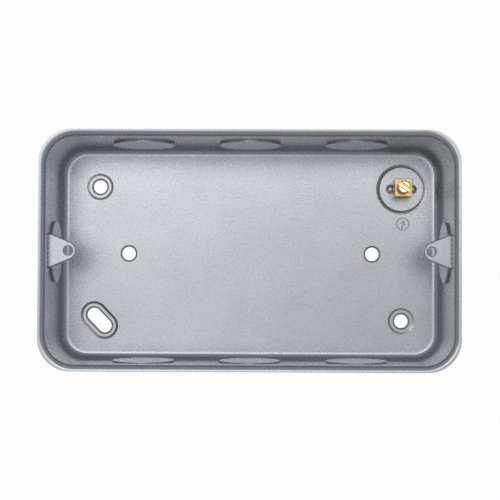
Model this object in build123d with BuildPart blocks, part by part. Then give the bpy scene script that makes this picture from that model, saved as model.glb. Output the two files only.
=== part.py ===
"""Two-gang surface back box: a drawn steel box with fixing lugs and an earth terminal.

Millimetres. The box lies on its back: +Z points out of its open front, +X runs along its length, and the
origin is the centre of its back face.
"""
import os
from math import atan2, degrees

from build123d import *

# Drawn shell
inside_length = 134.0
inside_width = 75.0
box_height = 40.0
sheet = 1.5
inside_corner_radius = 9.7
floor_radius = 2.9

# Rim: the sheet turns outward over a radius and is trimmed
lip_reach = 2.2
lip_corner_radius = 10.8
lip_radius = 2.0
lip_edge = 0.1

# Knockouts: round blanks sheared into the walls, pushed inward and hung on a tang at their rim side
knockout_diameter = 21.0
knockout_pitch = 36.3
knockouts_per_long_wall = 3
knockout_lug_gap = 2.0
knockout_shear_gap = 0.06
knockout_push_at_rim = 0.75
knockout_push_at_floor = 1.3
lower_knockout_push_at_rim = 0.3
lower_knockout_push_at_floor = 1.1
tang_width = 2.6
tang_reach = 1.5
tang_overlap = 0.3

# Holes in the floor
fixing_inset_x = 13.7
fixing_inset_y = 13.9
plain_hole_pitch = 86.0
hole_diameter = 4.8
hole_edge_width = 0.6
hole_edge_depth = 0.45
slot_travel = 5.4
slot_angle = -46.0
seat_diameter = 9.4
seat_depth = 0.25
seat_slope_width = 0.8

# Sunk pad that carries the earth terminal, with two pips raised against the block's sides
pad_inset_x = 13.6
pad_inset_y = 14.4
pad_diameter = 15.3
pad_slope_width = 0.75
pad_slope_depth = 0.25
pad_edge_width = 0.55
pad_edge_depth = 0.1
pip_diameter = 3.4
pip_top_diameter = 1.0
pip_height = 0.6
pip_distance = 0.7
pip_clearance = 0.05

# Fixing lugs: tapered plates whose tongues pass through slots in the short walls and are staked outside
lug_hole_spacing = 120.6
lug_depth = 7.0
lug_thickness = 1.5
lug_root_width = 11.2
lug_root_length = 0.9
lug_tip_radius = 3.2
lug_tip_reach = 2.6
lug_hole_diameter = 2.9
lug_hole_edge_width = 0.3
lug_hole_edge_angle = 90.0
lug_edge = 0.35
lug_slot_end_gap = 0.4
lug_slot_clearance = 0.05
stake_height = 0.4
stake_overlap = 0.5

# Earth terminal block: square brass, with a cross hole for the wire and a spigot riveted in the pad
block_side = 6.3
block_height = 7.95
block_corner_radius = 0.4
block_edge = 0.15
wire_hole_diameter = 3.8
wire_hole_height = 3.65
spigot_diameter = 4.0
spigot_clearance = 0.05
spigot_flare = 0.5
spigot_flare_height = 0.4

# Clamp screw, drawn backed off from the wire hole
screw_diameter = 3.5
screw_clearance = 0.05
screw_head_diameter = 4.4
screw_head_height = 1.7
screw_head_edge = 0.35
screw_head_stand = 3.6
screw_slot_width = 0.9
screw_slot_depth = 0.9
screw_slot_angle = -32.0
screw_tip_gap = 0.25
screw_tip_edge = 0.4

# Derived sizes of the shell
outside_length = inside_length + 2 * sheet
outside_width = inside_width + 2 * sheet
lip_length = inside_length + 2 * lip_reach
lip_width = inside_width + 2 * lip_reach
knockout_radius = knockout_diameter / 2
fixing_x = inside_length / 2 - fixing_inset_x
fixing_y = inside_width / 2 - fixing_inset_y
hole_radius = hole_diameter / 2
seat_floor = sheet - seat_depth
seat_floor_diameter = seat_diameter - 2 * seat_slope_width
seat_slope = degrees(atan2(seat_slope_width, seat_depth))
hole_edge_slope = degrees(atan2(hole_edge_width, hole_edge_depth))

# Derived places of the terminal
pad_x = inside_length / 2 - pad_inset_x
pad_y = inside_width / 2 - pad_inset_y
pad_top = sheet - pad_slope_depth - pad_edge_depth
pad_radius = pad_diameter / 2
pad_slope_radius = pad_radius + pad_slope_width
pip_radius = pip_diameter / 2
spigot_radius = spigot_diameter / 2
spigot_hole_radius = spigot_radius + spigot_clearance
pip_offset = block_side / 2 + pip_distance
block_seat_side = block_side + 2 * pip_clearance
block_top = pad_top + block_height
wire_hole_axis = pad_top + wire_hole_height
wire_hole_top = wire_hole_axis + wire_hole_diameter / 2
screw_top = block_top + screw_head_stand
screw_head_underside = screw_top - screw_head_height
screw_tip = wire_hole_top + screw_tip_gap

# Derived sizes of the lugs, and the knockouts' height below them
lug_top = box_height - lug_depth
lug_underside = lug_top - lug_thickness
lug_slot_width = lug_root_width + 2 * lug_slot_end_gap
lug_slot_height = lug_thickness + 2 * lug_slot_clearance
lug_middle = lug_top - lug_thickness / 2
knockout_height = lug_underside - knockout_lug_gap - knockout_radius

ON_TOP = (Align.CENTER, Align.CENTER, Align.MIN)
HANGING = (Align.CENTER, Align.CENTER, Align.MAX)


def knockout_seat(x, y, inward):
    """Plane on a wall's inside face at a knockout's centre, with its Y towards the rim."""
    along = Vector(0, 0, 1).cross(Vector(*inward))
    return Plane(origin=(x, y, knockout_height), x_dir=along, z_dir=inward)


def knockout_row(side):
    """Seats of the knockouts in one long wall."""
    middle = (knockouts_per_long_wall - 1) / 2
    places = [(index - middle) * knockout_pitch for index in range(knockouts_per_long_wall)]
    return [knockout_seat(x, side * inside_width / 2, (0, -side, 0)) for x in places]


def knockout_blank(push_at_rim, push_at_floor):
    """A blank on its tang, drawn on a wall's inside face: Z inward, Y towards the rim."""
    tilt = degrees(atan2(push_at_floor - push_at_rim, knockout_diameter))
    middle_push = (push_at_floor + push_at_rim) / 2
    with BuildPart() as blank:
        with BuildSketch(Plane.XY.offset(middle_push).rotated((-tilt, 0, 0))):
            Circle(knockout_radius - knockout_shear_gap)
        extrude(amount=-sheet)
        with BuildSketch(Plane.YZ):
            with BuildLine():
                Polyline(
                    (knockout_radius + tang_overlap, 0),
                    (knockout_radius + tang_overlap, -sheet),
                    (knockout_radius - tang_reach, push_at_rim - sheet),
                    (knockout_radius - tang_reach, push_at_rim),
                    close=True,
                )
            make_face()
        extrude(amount=tang_width / 2, both=True)
    return blank.part


end_knockouts = [knockout_seat(side * inside_length / 2, 0, (-side, 0, 0)) for side in (1, -1)]
upper_knockouts = knockout_row(1)
lower_knockouts = knockout_row(-1)
deep_blank = knockout_blank(knockout_push_at_rim, knockout_push_at_floor)
shallow_blank = knockout_blank(lower_knockout_push_at_rim, lower_knockout_push_at_floor)

# Box: one drawn and pierced pressing
with BuildPart() as back_box:
    with BuildSketch():
        RectangleRounded(outside_length, outside_width, inside_corner_radius + sheet)
    extrude(amount=box_height)
    fillet(back_box.faces().sort_by(Axis.Z)[0].edges(), floor_radius + sheet)
    offset(amount=-sheet, openings=back_box.faces().sort_by(Axis.Z)[-1])

    # Lip around the mouth
    with BuildSketch(Plane.XY.offset(box_height - sheet)):
        RectangleRounded(lip_length, lip_width, lip_corner_radius)
        RectangleRounded(inside_length, inside_width, inside_corner_radius, mode=Mode.SUBTRACT)
    extrude(amount=sheet)
    mouth = back_box.faces().sort_by(Axis.Z)[-1]
    fillet(mouth.inner_wires().edges(), lip_radius)
    underside = back_box.faces().filter_by(Axis.Z).sort_by(Axis.Z)[-2]
    chamfer(underside.inner_wires().edges(), lip_radius - sheet)
    rim = back_box.faces().sort_by(Axis.Z)[-1]
    chamfer(rim.outer_wire().edges(), lip_edge)

    # Knockouts
    with Locations(*end_knockouts, *upper_knockouts, *lower_knockouts):
        Cylinder(knockout_radius, 4 * sheet, mode=Mode.SUBTRACT)
    with Locations(*end_knockouts, *upper_knockouts):
        add(deep_blank)
    with Locations(*lower_knockouts):
        add(shallow_blank)

    # Slots for the lugs' tongues
    for side in (1, -1):
        with Locations((side * (inside_length + sheet) / 2, 0, lug_middle)):
            Box(2 * sheet, lug_slot_width, lug_slot_height, mode=Mode.SUBTRACT)

    # Round fixing holes in two opposite corners, each in a coined seat
    with Locations((-fixing_x, fixing_y), (fixing_x, -fixing_y)):
        with Locations((0, 0, seat_floor)):
            Cone(seat_floor_diameter / 2, seat_diameter / 2, seat_depth, align=ON_TOP, mode=Mode.SUBTRACT)
            CounterSinkHole(hole_radius, hole_radius + hole_edge_width, counter_sink_angle=2 * hole_edge_slope)

    # Slotted fixing hole in the third corner
    with BuildSketch(Plane.XY.offset(sheet)):
        with Locations((-fixing_x, -fixing_y)):
            SlotCenterToCenter(slot_travel, seat_diameter, rotation=slot_angle)
    extrude(amount=-seat_depth, taper=seat_slope, mode=Mode.SUBTRACT)
    with BuildSketch(Plane.XY.offset(seat_floor)):
        with Locations((-fixing_x, -fixing_y)):
            SlotCenterToCenter(slot_travel, hole_diameter + 2 * hole_edge_width, rotation=slot_angle)
    extrude(amount=-hole_edge_depth, taper=hole_edge_slope, mode=Mode.SUBTRACT)
    with BuildSketch():
        with Locations((-fixing_x, -fixing_y)):
            SlotCenterToCenter(slot_travel, hole_diameter, rotation=slot_angle)
    extrude(amount=seat_floor, mode=Mode.SUBTRACT)

    # Plain holes on the centre line
    with Locations((-plain_hole_pitch / 2, 0, sheet), (plain_hole_pitch / 2, 0, sheet)):
        CounterSinkHole(hole_radius, hole_radius + hole_edge_width, counter_sink_angle=2 * hole_edge_slope)

    # Terminal pad, sunk in the floor, with its pips and the hole for the block's spigot
    with Locations((pad_x, pad_y, sheet - pad_edge_depth)):
        Cone(
            pad_slope_radius,
            pad_slope_radius + pad_edge_width,
            pad_edge_depth,
            align=ON_TOP,
            mode=Mode.SUBTRACT,
        )
    with Locations((pad_x, pad_y, pad_top)):
        Cone(pad_radius, pad_slope_radius, pad_slope_depth, align=ON_TOP, mode=Mode.SUBTRACT)
    with Locations((pad_x - pip_offset, pad_y, pad_top), (pad_x + pip_offset, pad_y, pad_top)):
        Cone(pip_radius, pip_top_diameter / 2, pip_height, align=ON_TOP)
    with Locations((pad_x, pad_y, pad_top)):
        Box(block_seat_side, block_seat_side, pip_height, align=ON_TOP, mode=Mode.SUBTRACT)
    with Locations((pad_x, pad_y, 0)):
        Cylinder(spigot_hole_radius, pad_top, align=ON_TOP, mode=Mode.SUBTRACT)
        Cone(
            spigot_hole_radius + spigot_flare,
            spigot_hole_radius,
            spigot_flare_height,
            align=ON_TOP,
            mode=Mode.SUBTRACT,
        )
back_box.part.label = "back_box"

# Fixing lug of the right-hand wall
with BuildPart() as right_fixing_lug:
    with BuildSketch(Plane.XY.offset(lug_underside)):
        with Locations((lug_hole_spacing / 2 - lug_tip_reach + lug_tip_radius, 0)):
            Circle(lug_tip_radius)
        with Locations((inside_length / 2, 0)):
            Rectangle(lug_root_length, lug_root_width, align=(Align.MAX, Align.CENTER))
        make_hull()
    extrude(amount=lug_thickness)
    outline = right_fixing_lug.faces().sort_by(Axis.Z)[-1].edges()
    chamfer(outline.filter_by(lambda edge: edge.center().X < inside_length / 2), lug_edge)
    with Locations((lug_hole_spacing / 2, 0, lug_top)):
        CounterSinkHole(
            lug_hole_diameter / 2,
            lug_hole_diameter / 2 + lug_hole_edge_width,
            counter_sink_angle=lug_hole_edge_angle,
        )
    with Locations((inside_length / 2, 0, lug_middle)):
        Box(sheet, lug_root_width, lug_thickness, align=(Align.MIN, Align.CENTER, Align.CENTER))
    with Locations((outside_length / 2, 0, lug_middle)):
        Box(
            stake_height,
            lug_slot_width + 2 * stake_overlap,
            lug_slot_height + 2 * stake_overlap,
            align=(Align.MIN, Align.CENTER, Align.CENTER),
        )
right_fixing_lug.part.label = "right_fixing_lug"

# Fixing lug of the left-hand wall: the same piece, turned round
with BuildPart() as left_fixing_lug:
    with Locations(Location((0, 0, 0), (0, 0, 180))):
        add(right_fixing_lug.part)
left_fixing_lug.part.label = "left_fixing_lug"

# Earth terminal block, with its spigot flared flush into the back of the pad
with BuildPart() as earth_terminal_block:
    with BuildSketch(Plane.XY.offset(pad_top)):
        with Locations((pad_x, pad_y)):
            RectangleRounded(block_side, block_side, block_corner_radius)
    extrude(amount=block_height)
    chamfer(earth_terminal_block.faces().sort_by(Axis.Z)[-1].edges(), block_edge)
    with Locations((pad_x, pad_y, wire_hole_axis)):
        Cylinder(wire_hole_diameter / 2, 2 * block_side, rotation=(90, 0, 0), mode=Mode.SUBTRACT)
    with Locations((pad_x, pad_y, block_top)):
        Hole(screw_diameter / 2 + screw_clearance, block_height - wire_hole_height)
    with Locations((pad_x, pad_y, pad_top)):
        Cylinder(spigot_radius, pad_top, align=HANGING)
    with Locations((pad_x, pad_y, 0)):
        Cone(spigot_radius + spigot_flare, spigot_radius, spigot_flare_height, align=ON_TOP)
earth_terminal_block.part.label = "earth_terminal_block"

# Slotted clamp screw
with BuildPart() as earth_terminal_screw:
    with Locations((pad_x, pad_y, screw_head_underside)):
        Cylinder(screw_head_diameter / 2, screw_head_height, align=ON_TOP)
    chamfer(earth_terminal_screw.faces().sort_by(Axis.Z)[-1].edges(), screw_head_edge)
    with Locations((pad_x, pad_y, screw_top)):
        Box(
            2 * screw_head_diameter,
            screw_slot_width,
            2 * screw_slot_depth,
            rotation=(0, 0, screw_slot_angle),
            mode=Mode.SUBTRACT,
        )
    with Locations((pad_x, pad_y, screw_head_underside)):
        Cylinder(screw_diameter / 2, screw_head_underside - screw_tip, align=HANGING)
    chamfer(earth_terminal_screw.faces().sort_by(Axis.Z)[0].edges(), screw_tip_edge)
earth_terminal_screw.part.label = "earth_terminal_screw"

os.makedirs("parts", exist_ok=True)
pieces = (back_box, left_fixing_lug, right_fixing_lug, earth_terminal_block, earth_terminal_screw)
for piece in pieces:
    export_step(piece.part, f"parts/{piece.part.label}.step")
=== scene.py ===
"""Looks of the two-gang back box: metallic grey paint, brass, soft light and the photograph's camera."""
from math import cos, pi, radians, sin

import bmesh
import bpy
from mathutils import Matrix, Vector


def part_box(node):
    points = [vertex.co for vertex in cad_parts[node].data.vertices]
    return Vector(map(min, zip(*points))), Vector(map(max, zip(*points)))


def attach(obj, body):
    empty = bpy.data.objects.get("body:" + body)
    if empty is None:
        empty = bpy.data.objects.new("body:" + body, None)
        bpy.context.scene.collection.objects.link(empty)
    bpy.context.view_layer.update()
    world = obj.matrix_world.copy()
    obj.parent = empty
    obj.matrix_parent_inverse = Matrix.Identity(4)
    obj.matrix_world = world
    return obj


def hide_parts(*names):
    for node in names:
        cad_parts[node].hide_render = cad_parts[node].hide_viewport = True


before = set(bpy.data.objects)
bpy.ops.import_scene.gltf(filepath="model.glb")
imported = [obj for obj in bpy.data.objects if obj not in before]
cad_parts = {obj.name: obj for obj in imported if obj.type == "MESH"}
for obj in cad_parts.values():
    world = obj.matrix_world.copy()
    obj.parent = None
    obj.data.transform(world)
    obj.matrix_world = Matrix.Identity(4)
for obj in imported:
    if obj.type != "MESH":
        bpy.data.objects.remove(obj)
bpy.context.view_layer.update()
scene = bpy.context.scene
MM = 0.001

# Camera, as fitted to the photograph's edges, corners and holes (500 by 500 pixels)
CAMERA_AT = Vector((3.44, -14.64, 494.54)) * MM
CAMERA_TILT = -0.03248
CAMERA_PAN = -0.00724
CAMERA_ROLL = -0.00367
CAMERA_CLIP_START = 0.01
FOCAL_PIXELS = 1393.6
IMAGE_PIXELS = 500
SENSOR_MM = 36.0

# Bank of soft boxes overhead, in millimetres: its height and the borders between its boxes, from west to
# east and from north to south. The power is in watts for each square metre of a box, row by row from the
# north.
BANK_HEIGHT = 600
BANK_X = (-230, -125, -10, 105, 200)
BANK_Y = (230, 110, 30, -50, -160)
BANK_POWER = (
    (8.4, 8.2, 7.2, 6.2),
    (6.0, 3.2, 2.4, 4.6),
    (3.0, 3.2, 1.2, 1.8),
    (1.6, 3.8, 2.5, 1.2),
)

# Plain sky, a little blue
SKY_COLOUR = (0.279, 0.3, 0.324, 1.0)

# White floor, in metres, and the share of it that is seen as plain white; the rest keeps the shadow
FLOOR_SIZE = 20.0
FLOOR_GAP = 0.00005
FLOOR_COLOUR = (0.9, 0.9, 0.9, 1.0)
FLOOR_WHITE = (1.0, 1.0, 1.0, 1.0)
FLOOR_WHITE_SHARE = 0.97

# Parts of a noise's range that are used for colours, for grain and for specks
COLOUR_RANGE = (0.3, 0.7)
GRAIN_RANGE = (0.2, 0.8)
SPECK_RANGE = (0.25, 0.75)

# Metallic paint; each noise is given by its scale, detail and roughness
PAINT_COLOURS = ((0.53, 0.545, 0.564), (0.57, 0.585, 0.604))
PAINT_METALLIC = 0.7
PAINT_ROUGHNESS = (0.23, 0.31)
PAINT_PEEL = 0.00002
PAINT_SHEEN = 0.25
PAINT_SHEEN_ROUGHNESS = 0.35
PAINT_CLOUDS = (55.0, 3.0, 0.55)
PAINT_GRAIN = (1500.0, 2.0, 0.55)
PAINT_SPECKS = (2200.0, 1.0, 0.5)

# Flat floor of the box, by the upward part of its normal and by its height in millimetres, with the depth
# of the paint's specks and the share of its peel, each first off that floor and then on it
FLAT_UP = (0.9, 0.98)
FLAT_BELOW = (2.0, 3.0)
SPECK_DEPTH = (0.02, 0.1)
PEEL_SHARE = (0.4, 1.0)

# Sheared edges of the knockouts, in millimetres: the places of the blanks, the depths in the walls from
# which an edge can show, and its ring round a blank's middle; it looks at least a little upwards
KNOCKOUT_PITCH = 36.3
KNOCKOUT_HEIGHT = 19.0
LONG_WALL_FROM = (37.15, 37.5)
SHORT_WALL_FROM = (66.65, 67.0)
SHEARED_RADIUS = 9.9
SHEARED_HALF_WIDTH = 1.0
SHEARED_SOFT = 0.1
SHEARED_UP = (0.12, 0.3)
# Painted shade on the sheared edges, as of the shadow in the gap round a blank
SHEARED_GAP_SHADE_COLOUR = (0.3, 0.31, 0.325, 1.0)
SHEARED_ROUGHER = 0.2

# Pressed rings in the floor, in millimetres: the middle, half the travel of a slot, the radius, the half
# width and the strength of the painted shade on the ring's slopes, which stays above the back
PRESSED_RINGS = (
    ((53.4, 23.1), 0.0, 8.3, 0.6, 0.5),
    ((-53.3, -23.6), 2.7, 4.35, 0.35, 1.0),
)
SLOT_TURN = radians(-46.0)
CREASE_SOFT = 0.15
CREASE_ABOVE = (0.9, 1.1)
# Painted shade on the rings' slopes, a little blue
CREASE_SHADE_COLOUR = (0.27, 0.3, 0.34, 1.0)

# Painted shade at the root of each lug, in millimetres: its place from the middle, and its end below the
# tops of the teeth
LUG_TOP = 33.0
ROOT_FROM = (66.45, 66.65)
ROOT_BELOW = (LUG_TOP + 0.05, LUG_TOP + 0.12)
ROOT_SHADE_COLOUR = (0.22, 0.22, 0.23, 1.0)

# Row of teeth staked across each lug's root, in millimetres: the row's place from the middle, and a tooth
TEETH_AT = 66.72
TEETH_PITCH = 1.55
TEETH_COUNT = 7
TOOTH_HALF = 0.42
TOOTH_SECTION = ((-0.24, -0.05), (0.24, -0.05), (0.16, 0.16), (-0.16, 0.16))

# Embossed earth sign beside the terminal, in millimetres: its strokes stand proud of the floor
SIGN_AT = (53.9, 10.75)
SIGN_FLOOR = 1.5
SIGN_RADIUS = 2.15
SIGN_STEPS = 64
SIGN_TURN = radians(-15.0)
SIGN_SECTION = ((-0.22, -0.05), (0.22, -0.05), (0.05, 0.13), (-0.05, 0.13))
SIGN_BARS = ((0.05, 1.15), (0.6, 0.75), (1.15, 0.4))
SIGN_STEM = (-1.95, 0.05)

# Clamp screw's head, in millimetres, placed by the CAD node's own box: the chamfer is at its underside, and
# the rounded edge at its top passes a point given in shares of the edge, inwards and down
SCREW_HEAD_RADIUS = 2.2
SCREW_HEAD_HEIGHT = 1.7
SCREW_HEAD_CHAMFER = 0.12
SCREW_HEAD_EDGE = 0.35
SCREW_HEAD_EDGE_POINT = (0.3, 0.35)
SCREW_HEAD_STEPS = 72

# Stepped slot in the head, in millimetres: the sides of its deep part, the place and depth of its step, the
# slope beyond the step, and the height of the cutter above the head
SCREW_SLOT_SIDES = (0.1, 1.0)
SCREW_SLOT_DEPTH = 0.9
SCREW_SLOT_STEP = (-0.55, 0.3)
SCREW_SLOT_SLOPE = 0.3
SCREW_SLOT_CLEAR = 1.0
SCREW_SLOT_TURN = radians(-32.0)

# Thread of the shank, in millimetres, with the shares of half a turn that are root and flank, the steps
# round the shank, the rows for each turn, and the narrower tip
THREAD_PITCH = 0.6
THREAD_CREST = 1.74
THREAD_ROOT = 1.42
THREAD_ROOT_SHARE = 0.2
THREAD_FLANK_SHARE = 0.6
THREAD_STEPS = 40
THREAD_ROWS = 12
TIP_RADIUS = 1.2
TIP_LENGTH = 0.5

# Brass with painted light: a painted highlight on its tops and painted shade on its sides, and deep golden
# painted shade near the slot's floor, within a reach in millimetres
BLOCK_HIGHLIT_TOP_COLOURS = ((0.56, 0.38, 0.15), (0.68, 0.5, 0.24))
BLOCK_SHADED_SIDE_COLOURS = ((0.5, 0.37, 0.19), (0.62, 0.48, 0.27))
SCREW_HIGHLIT_TOP_COLOURS = ((0.95, 0.9, 0.74), (1.0, 0.96, 0.84))
SCREW_SHADED_SIDE_COLOURS = ((0.66, 0.42, 0.12), (0.8, 0.56, 0.2))
# Painted shade in the slot, deep golden
SLOT_FLOOR_SHADE_COLOUR = (0.74, 0.5, 0.06, 1.0)
SLOT_FLOOR_REACH = 0.3
SLOT_FLOOR_SOFT = 0.02
BRASS_TOP_UP = (0.8, 0.95)
BRASS_METALLIC = 1.0
BRASS_ROUGHNESS = (0.18, 0.34)
BRASS_PATCHES = (700.0, 3.0, 0.6)
BRASS_GRAIN = (2600.0, 2.0, 0.6)
BRASS_BUMP = 0.25
BRASS_BUMP_DEPTH = 0.0001


class Nodes:
    """A short way to fill the node tree of a new material or world."""

    def __init__(self, owner):
        owner.use_nodes = True
        self.tree = owner.node_tree
        self.tree.nodes.clear()

    def add(self, kind, inputs=None, **settings):
        node = self.tree.nodes.new(kind)
        for name, value in settings.items():
            setattr(node, name, value)
        for socket, value in (inputs or {}).items():
            self.feed(node.inputs[socket], value)
        return node

    def feed(self, socket, value):
        if isinstance(value, bpy.types.NodeSocket):
            self.tree.links.new(value, socket)
        else:
            socket.default_value = value

    def math(self, operation, *values):
        node = self.add("ShaderNodeMath", operation=operation)
        for index, value in enumerate(values):
            self.feed(node.inputs[index], value)
        return node.outputs[0]

    def scale(self, vector, factor):
        return self.add("ShaderNodeVectorMath", {0: vector, "Scale": factor}, operation="SCALE").outputs[0]

    def split(self, vector):
        return self.add("ShaderNodeSeparateXYZ", {"Vector": vector}).outputs

    def noise(self, vector, scale, detail, roughness):
        inputs = {"Vector": vector, "Scale": scale, "Detail": detail, "Roughness": roughness}
        return self.add("ShaderNodeTexNoise", inputs).outputs["Fac"]

    def ramp(self, fac, colours):
        """A colour that goes from the first to the second over the used part of a noise's range."""
        node = self.add("ShaderNodeValToRGB", {"Fac": fac})
        for element, place, colour in zip(node.color_ramp.elements, COLOUR_RANGE, colours):
            element.position = place
            element.color = (*colour, 1.0)
        return node.outputs["Color"]

    def shade(self, colour, other, fac):
        node = self.add("ShaderNodeMix", data_type="RGBA")
        self.feed(node.inputs["Factor"], fac)
        self.feed(node.inputs["A"], colour)
        self.feed(node.inputs["B"], other)
        return node.outputs["Result"]

    def bump(self, height, strength, depth):
        inputs = {"Height": height, "Strength": strength, "Distance": depth}
        return self.add("ShaderNodeBump", inputs).outputs["Normal"]

    def span(self, value, low, high, new_low, new_high):
        inputs = {"Value": value, "From Min": low, "From Max": high, "To Min": new_low, "To Max": new_high}
        return self.add("ShaderNodeMapRange", inputs).outputs["Result"]

    def grow(self, value, low, high):
        """None up to the low value, and one from the high value on."""
        return self.span(value, low, high, 0.0, 1.0)

    def fade(self, value, low, high):
        """One up to the low value, and none from the high value on."""
        return self.span(value, low, high, 1.0, 0.0)

    def within(self, distance, reach, soft):
        """One inside the reach, falling to none over the soft width beyond it."""
        return self.fade(distance, reach, reach + soft)

    def distance(self, value, place):
        return self.math("ABSOLUTE", self.math("SUBTRACT", value, place))

    def length(self, first, second):
        square = self.math("MULTIPLY", second, second)
        return self.math("SQRT", self.math("MULTIPLY_ADD", first, first, square))


def make_camera():
    turn = (
        Matrix.Rotation(CAMERA_ROLL, 3, "Z")
        @ Matrix.Rotation(CAMERA_PAN, 3, "Y")
        @ Matrix.Rotation(CAMERA_TILT, 3, "X")
    )
    data = bpy.data.cameras.new("camera")
    data.sensor_fit = "HORIZONTAL"
    data.sensor_width = SENSOR_MM
    data.lens = FOCAL_PIXELS / IMAGE_PIXELS * SENSOR_MM
    data.clip_start = CAMERA_CLIP_START
    camera = bpy.data.objects.new("camera", data)
    scene.collection.objects.link(camera)
    camera.matrix_world = Matrix.Translation(CAMERA_AT) @ turn.transposed().to_4x4()
    scene.camera = camera


def make_floor():
    bpy.ops.mesh.primitive_plane_add(size=FLOOR_SIZE, location=(0, 0, -FLOOR_GAP))
    floor = bpy.context.object
    floor.name = "floor"
    material = bpy.data.materials.new("white_floor")
    nodes = Nodes(material)
    paper = nodes.add("ShaderNodeBsdfDiffuse", {"Color": FLOOR_COLOUR})
    glow = nodes.add("ShaderNodeEmission", {"Color": FLOOR_WHITE, "Strength": 1.0})
    rays = nodes.add("ShaderNodeLightPath").outputs
    seen = nodes.math("MAXIMUM", rays["Is Camera Ray"], rays["Is Glossy Ray"])
    seen = nodes.math("MAXIMUM", seen, rays["Is Transmission Ray"])
    share = nodes.math("MULTIPLY", seen, FLOOR_WHITE_SHARE)
    mix = nodes.add("ShaderNodeMixShader", {"Fac": share, 1: paper.outputs[0], 2: glow.outputs[0]})
    nodes.add("ShaderNodeOutputMaterial", {"Surface": mix.outputs[0]})
    floor.data.materials.append(material)


def make_world():
    world = bpy.data.worlds.new("studio")
    scene.world = world
    nodes = Nodes(world)
    sky = nodes.add("ShaderNodeBackground", {"Color": SKY_COLOUR, "Strength": 1.0})
    nodes.add("ShaderNodeOutputWorld", {"Surface": sky.outputs[0]})


def make_soft_boxes():
    """The overhead bank, brightest in the north."""
    for row, powers in enumerate(BANK_POWER):
        north, south = BANK_Y[row:row + 2]
        for column, power in enumerate(powers):
            west, east = BANK_X[column:column + 2]
            data = bpy.data.lights.new(f"soft_box_{row}_{column}", "AREA")
            data.shape = "RECTANGLE"
            data.size = (east - west) * MM
            data.size_y = (north - south) * MM
            data.energy = power * data.size * data.size_y
            light = bpy.data.objects.new(data.name, data)
            scene.collection.objects.link(light)
            light.location = Vector(((west + east) / 2, (south + north) / 2, BANK_HEIGHT)) * MM


def new_material(name):
    """A new material with one shader: the material, its nodes and the shader."""
    material = bpy.data.materials.new(name)
    nodes = Nodes(material)
    shader = nodes.add("ShaderNodeBsdfPrincipled")
    nodes.add("ShaderNodeOutputMaterial", {"Surface": shader.outputs["BSDF"]})
    return material, nodes, shader


def sheared_edge_and_shade_mask(nodes, x, y, z, up):
    """The knockouts' sheared edges near the wall's face, which get painted shade and a rougher paint: near
    a blank's rim, on faces that look towards the box's mouth.
    """
    rise = nodes.math("SUBTRACT", z, KNOCKOUT_HEIGHT)
    from_blank = nodes.math("PINGPONG", nodes.math("ABSOLUTE", x), KNOCKOUT_PITCH / 2)
    edges = []
    for depth, wall_from, along in ((y, LONG_WALL_FROM, from_blank), (x, SHORT_WALL_FROM, y)):
        in_wall = nodes.grow(nodes.math("ABSOLUTE", depth), *wall_from)
        from_ring = nodes.distance(nodes.length(along, rise), SHEARED_RADIUS)
        near = nodes.within(from_ring, SHEARED_HALF_WIDTH, SHEARED_SOFT)
        edges.append(nodes.math("MULTIPLY", in_wall, near))
    return nodes.math("MULTIPLY", nodes.math("MAXIMUM", *edges), nodes.grow(up, *SHEARED_UP))


def crease_shade_mask(nodes, x, y, z):
    """The slopes of the pressed rings in the floor, darkened with painted shade."""
    crease_shades = []
    for (middle_x, middle_y), half_travel, radius, half_width, strength in PRESSED_RINGS:
        east = nodes.math("SUBTRACT", x, middle_x)
        north = nodes.math("SUBTRACT", y, middle_y)
        along_east = nodes.math("MULTIPLY", east, cos(SLOT_TURN))
        along = nodes.math("MULTIPLY_ADD", north, sin(SLOT_TURN), along_east)
        across_north = nodes.math("MULTIPLY", north, cos(SLOT_TURN))
        across = nodes.math("MULTIPLY_ADD", east, -sin(SLOT_TURN), across_north)
        past_end = nodes.math("SUBTRACT", nodes.math("ABSOLUTE", along), half_travel)
        beyond = nodes.math("MAXIMUM", past_end, 0.0)
        away = nodes.distance(nodes.length(beyond, across), radius)
        ring_shade = nodes.within(away, half_width, CREASE_SOFT)
        crease_shades.append(nodes.math("MULTIPLY", ring_shade, strength))
    return nodes.math("MULTIPLY", nodes.math("MAXIMUM", *crease_shades), nodes.grow(z, *CREASE_ABOVE))


def root_shade_mask(nodes, x, z):
    """Painted shade at the root of a lug, between and below its teeth."""
    beyond = nodes.grow(nodes.math("ABSOLUTE", x), *ROOT_FROM)
    return nodes.math("MULTIPLY", beyond, nodes.fade(z, *ROOT_BELOW))


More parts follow.
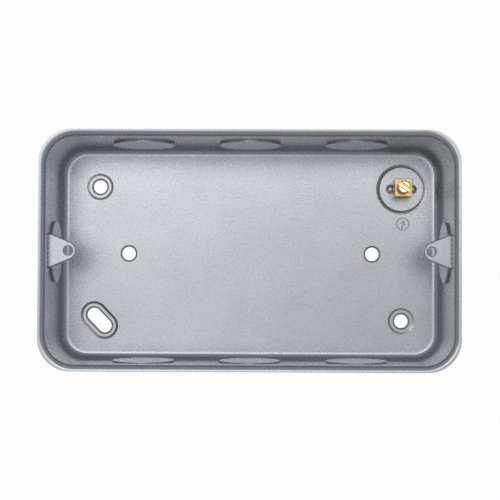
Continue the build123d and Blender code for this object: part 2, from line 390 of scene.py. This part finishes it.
def paint_material(name, detail):
    """Metallic grey paint with a fine orange peel; the detail picks each piece's painted shade, and on the
    box the rougher sheared edges.
    """
    material, nodes, shader = new_material(name)
    place = nodes.add("ShaderNodeTexCoord").outputs["Object"]
    in_mm = nodes.split(nodes.scale(place, 1 / MM))
    x, y, z = (in_mm[axis] for axis in "XYZ")
    up = nodes.split(nodes.add("ShaderNodeNewGeometry").outputs["Normal"])["Z"]
    flat = nodes.math("MULTIPLY", nodes.grow(up, *FLAT_UP), nodes.fade(z, *FLAT_BELOW))
    clouds = nodes.noise(place, *PAINT_CLOUDS)
    grain = nodes.noise(place, *PAINT_GRAIN)
    speck = nodes.span(nodes.noise(place, *PAINT_SPECKS), *SPECK_RANGE, -1.0, 1.0)
    speck = nodes.math("MULTIPLY_ADD", speck, nodes.span(flat, 0.0, 1.0, *SPECK_DEPTH), 1.0)
    colour = nodes.scale(nodes.ramp(clouds, PAINT_COLOURS), speck)
    roughness = nodes.span(grain, *GRAIN_RANGE, *PAINT_ROUGHNESS)
    peel = nodes.math("MULTIPLY", grain, nodes.span(flat, 0.0, 1.0, *PEEL_SHARE))
    if detail == "box":
        # Painted shade on the slopes of the pressed rings
        colour = nodes.shade(colour, CREASE_SHADE_COLOUR, crease_shade_mask(nodes, x, y, z))
        # Painted shade in the gap round each knockout blank, on its sheared edges, which are also rougher
        sheared_edge_and_shade = sheared_edge_and_shade_mask(nodes, x, y, z, up)
        colour = nodes.shade(colour, SHEARED_GAP_SHADE_COLOUR, sheared_edge_and_shade)
        roughness = nodes.math("MULTIPLY_ADD", sheared_edge_and_shade, SHEARED_ROUGHER, roughness)
    if detail == "lug":
        # Painted shade at the root of each lug
        colour = nodes.shade(colour, ROOT_SHADE_COLOUR, root_shade_mask(nodes, x, z))
    nodes.feed(shader.inputs["Base Color"], colour)
    nodes.feed(shader.inputs["Roughness"], roughness)
    nodes.feed(shader.inputs["Normal"], nodes.bump(peel, 1.0, PAINT_PEEL))
    shader.inputs["Metallic"].default_value = PAINT_METALLIC
    shader.inputs["Sheen Weight"].default_value = PAINT_SHEEN
    shader.inputs["Sheen Roughness"].default_value = PAINT_SHEEN_ROUGHNESS
    return material


def brass_material(name, highlit_top_colours, shaded_side_colours, slot_floor=None):
    """Brass with a painted highlight on its tops, painted shade on its sides, and deep golden painted shade
    at the height of a slot's floor.
    """
    material, nodes, shader = new_material(name)
    place = nodes.add("ShaderNodeTexCoord").outputs["Object"]
    patches = nodes.noise(place, *BRASS_PATCHES)
    grain = nodes.noise(place, *BRASS_GRAIN)
    up = nodes.split(nodes.add("ShaderNodeNewGeometry").outputs["Normal"])["Z"]
    top = nodes.ramp(patches, highlit_top_colours)
    side = nodes.ramp(patches, shaded_side_colours)
    # Painted highlight on the tops and painted shade on the sides
    colour = nodes.shade(side, top, nodes.grow(up, *BRASS_TOP_UP))
    if slot_floor:
        height = nodes.math("MULTIPLY", nodes.split(place)["Z"], 1 / MM)
        in_slot = nodes.within(nodes.distance(height, slot_floor), SLOT_FLOOR_REACH, SLOT_FLOOR_SOFT)
        # Painted shade, deep golden, near the slot's floor
        colour = nodes.shade(colour, SLOT_FLOOR_SHADE_COLOUR, in_slot)
    nodes.feed(shader.inputs["Base Color"], colour)
    nodes.feed(shader.inputs["Roughness"], nodes.span(grain, *GRAIN_RANGE, *BRASS_ROUGHNESS))
    nodes.feed(shader.inputs["Normal"], nodes.bump(grain, BRASS_BUMP, BRASS_BUMP_DEPTH))
    shader.inputs["Metallic"].default_value = BRASS_METALLIC
    return material


def dress(names, material):
    for name in names:
        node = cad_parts[name]
        node.data.materials.clear()
        node.data.materials.append(material)


def mesh_object(name, mesh):
    data = bpy.data.meshes.new(name)
    bmesh.ops.recalc_face_normals(mesh, faces=mesh.faces)
    mesh.to_mesh(data)
    mesh.free()
    piece = bpy.data.objects.new(name, data)
    scene.collection.objects.link(piece)
    return piece


def skin(mesh, rings, closed=False):
    """Join each ring of vertices to the next by faces; both ends are capped, or joined when closed."""
    pairs = list(zip(rings, rings[1:]))
    if closed:
        pairs.append((rings[-1], rings[0]))
    for first, second in pairs:
        for index in range(len(first)):
            after = (index + 1) % len(first)
            mesh.faces.new((first[index], first[after], second[after], second[index]))
    if not closed:
        mesh.faces.new(list(reversed(rings[0])))
        mesh.faces.new(rings[-1])


def round_ring(mesh, radii, height):
    """Add a ring of vertices about Z, with one radius for each of its equal steps."""
    ring = []
    for index, radius in enumerate(radii):
        angle = 2 * pi * index / len(radii)
        ring.append(mesh.verts.new((radius * cos(angle), radius * sin(angle), height)))
    return ring


def make_head(underside, top):
    """Turned head of the clamp screw, rounded at its top edge."""
    inwards, down = (share * SCREW_HEAD_EDGE for share in SCREW_HEAD_EDGE_POINT)
    profile = (
        (SCREW_HEAD_RADIUS - SCREW_HEAD_CHAMFER, underside),
        (SCREW_HEAD_RADIUS, underside + SCREW_HEAD_CHAMFER),
        (SCREW_HEAD_RADIUS, top - SCREW_HEAD_EDGE),
        (SCREW_HEAD_RADIUS - inwards, top - down),
        (SCREW_HEAD_RADIUS - SCREW_HEAD_EDGE, top),
    )
    mesh = bmesh.new()
    skin(mesh, [round_ring(mesh, [radius] * SCREW_HEAD_STEPS, height) for radius, height in profile])
    return mesh_object("earth_terminal_screw_head", mesh)


def make_slot_cutter(top):
    """Bar with the stepped section of the slot, longer than the head is wide."""
    near, far = SCREW_SLOT_SIDES
    step, step_depth = SCREW_SLOT_STEP
    corners = (
        (near, top - SCREW_SLOT_DEPTH),
        (far, top - SCREW_SLOT_DEPTH),
        (far, top + SCREW_SLOT_CLEAR),
        (step - SCREW_SLOT_SLOPE, top + SCREW_SLOT_CLEAR),
        (step - SCREW_SLOT_SLOPE, top),
        (step, top - step_depth),
        (near, top - step_depth),
    )
    reach = 2 * SCREW_HEAD_RADIUS
    mesh = bmesh.new()
    ends = []
    for side in (-reach, reach):
        ends.append([mesh.verts.new((side, across, height)) for across, height in corners])
    skin(mesh, ends)
    bmesh.ops.rotate(mesh, verts=mesh.verts, matrix=Matrix.Rotation(SCREW_SLOT_TURN, 3, "Z"))
    return mesh_object("slot_cutter", mesh)


def slotted_head(underside, top):
    """Mesh data of the head after its slot is cut."""
    head = make_head(underside, top)
    cutter = make_slot_cutter(top)
    cut = head.modifiers.new("slot", "BOOLEAN")
    cut.operation = "DIFFERENCE"
    cut.solver = "EXACT"
    cut.object = cutter
    slotted = bpy.data.meshes.new_from_object(head.evaluated_get(bpy.context.evaluated_depsgraph_get()))
    bpy.data.objects.remove(head)
    bpy.data.objects.remove(cutter)
    return slotted


def thread_radius(turn):
    """Radius of the thread at a part of a turn: flat root and crest with straight flanks."""
    from_middle = abs(2 * (turn % 1.0) - 1.0)
    rise = min(1.0, max(0.0, (from_middle - THREAD_ROOT_SHARE) / THREAD_FLANK_SHARE))
    return THREAD_ROOT + (THREAD_CREST - THREAD_ROOT) * rise


def add_shank(mesh, tip, underside):
    """Add the threaded shank, narrower towards its tip."""
    rows = int((underside - tip) / THREAD_PITCH * THREAD_ROWS)
    rings = []
    for row in range(rows + 1):
        height = tip + (underside - tip) * row / rows
        ease = min(1.0, (height - tip) / TIP_LENGTH)
        widest = TIP_RADIUS + ease * (THREAD_CREST - TIP_RADIUS)
        radii = []
        for step in range(THREAD_STEPS):
            radius = thread_radius(height / THREAD_PITCH - step / THREAD_STEPS)
            radii.append(min(radius, widest))
        rings.append(round_ring(mesh, radii, height))
    skin(mesh, rings)


def make_screw():
    """Clamp screw with its slotted head and threaded shank, in the place of the CAD node."""
    low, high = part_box("earth_terminal_screw")
    middle = Vector(((low[0] + high[0]) / 2, (low[1] + high[1]) / 2, 0))
    top = high[2] / MM
    tip = low[2] / MM
    underside = top - SCREW_HEAD_HEIGHT
    head = slotted_head(underside, top)
    mesh = bmesh.new()
    mesh.from_mesh(head)
    bpy.data.meshes.remove(head)
    add_shank(mesh, tip, underside)
    bmesh.ops.scale(mesh, verts=mesh.verts, vec=(MM, MM, MM))
    bmesh.ops.translate(mesh, verts=mesh.verts, vec=middle)
    screw = mesh_object("threaded_clamp_screw", mesh)
    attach(screw, "clamp_screw")
    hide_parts("earth_terminal_screw")
    return screw


def add_stroke(mesh, points, section, closed=False):
    """Add a ridge of one section along flat points, sunk a little in its ground."""
    rings = []
    for index, point in enumerate(points):
        before = points[index - 1] if closed or index else point
        after = points[(index + 1) % len(points)] if closed or index + 1 < len(points) else point
        along = (Vector(after) - Vector(before)).normalized()
        side = Vector((-along.y, along.x))
        ring = []
        for across, height in section:
            place = Vector(point) + across * side
            ring.append(mesh.verts.new((place.x, place.y, height)))
        rings.append(ring)
    skin(mesh, rings, closed)


def make_earth_sign():
    """Embossed earth sign: a ring, a stem and three bars."""
    mesh = bmesh.new()
    circle = []
    for step in range(SIGN_STEPS):
        angle = 2 * pi * step / SIGN_STEPS
        circle.append((SIGN_RADIUS * cos(angle), SIGN_RADIUS * sin(angle)))
    add_stroke(mesh, circle, SIGN_SECTION, closed=True)
    add_stroke(mesh, [(0.0, height) for height in SIGN_STEM], SIGN_SECTION)
    for height, half in SIGN_BARS:
        add_stroke(mesh, [(-half, height), (half, height)], SIGN_SECTION)
    bmesh.ops.rotate(mesh, verts=mesh.verts, matrix=Matrix.Rotation(SIGN_TURN, 3, "Z"))
    bmesh.ops.translate(mesh, verts=mesh.verts, vec=(SIGN_AT[0], SIGN_AT[1], SIGN_FLOOR))
    bmesh.ops.scale(mesh, verts=mesh.verts, vec=(MM, MM, MM))
    sign = mesh_object("embossed_earth_sign", mesh)
    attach(sign, "box")
    return sign


def make_lug_teeth(name, side):
    """Row of staked teeth across the root of one lug."""
    mesh = bmesh.new()
    for index in range(TEETH_COUNT):
        middle = (index - (TEETH_COUNT - 1) / 2) * TEETH_PITCH
        ends = [(side * TEETH_AT, middle + reach) for reach in (-TOOTH_HALF, TOOTH_HALF)]
        add_stroke(mesh, ends, TOOTH_SECTION)
    bmesh.ops.translate(mesh, verts=mesh.verts, vec=(0, 0, LUG_TOP))
    bmesh.ops.scale(mesh, verts=mesh.verts, vec=(MM, MM, MM))
    teeth = mesh_object(name, mesh)
    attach(teeth, "box")
    return teeth


make_camera()
make_floor()
make_world()
make_soft_boxes()
screw = make_screw()
box_paint = paint_material("box_paint", "box")
dress(("back_box",), box_paint)
make_earth_sign().data.materials.append(box_paint)
lug_paint = paint_material("lug_paint", "lug")
dress(("left_fixing_lug", "right_fixing_lug"), lug_paint)
make_lug_teeth("left_lug_teeth", -1).data.materials.append(lug_paint)
make_lug_teeth("right_lug_teeth", 1).data.materials.append(lug_paint)
dress(("earth_terminal_block",), brass_material("block_brass", BLOCK_HIGHLIT_TOP_COLOURS, BLOCK_SHADED_SIDE_COLOURS))
screw_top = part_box("earth_terminal_screw")[1][2] / MM
slot_floor_height = screw_top - SCREW_SLOT_DEPTH
screw_brass = brass_material("screw_brass", SCREW_HIGHLIT_TOP_COLOURS, SCREW_SHADED_SIDE_COLOURS, slot_floor_height)
screw.data.materials.append(screw_brass)

scene.view_settings.view_transform = "Standard"
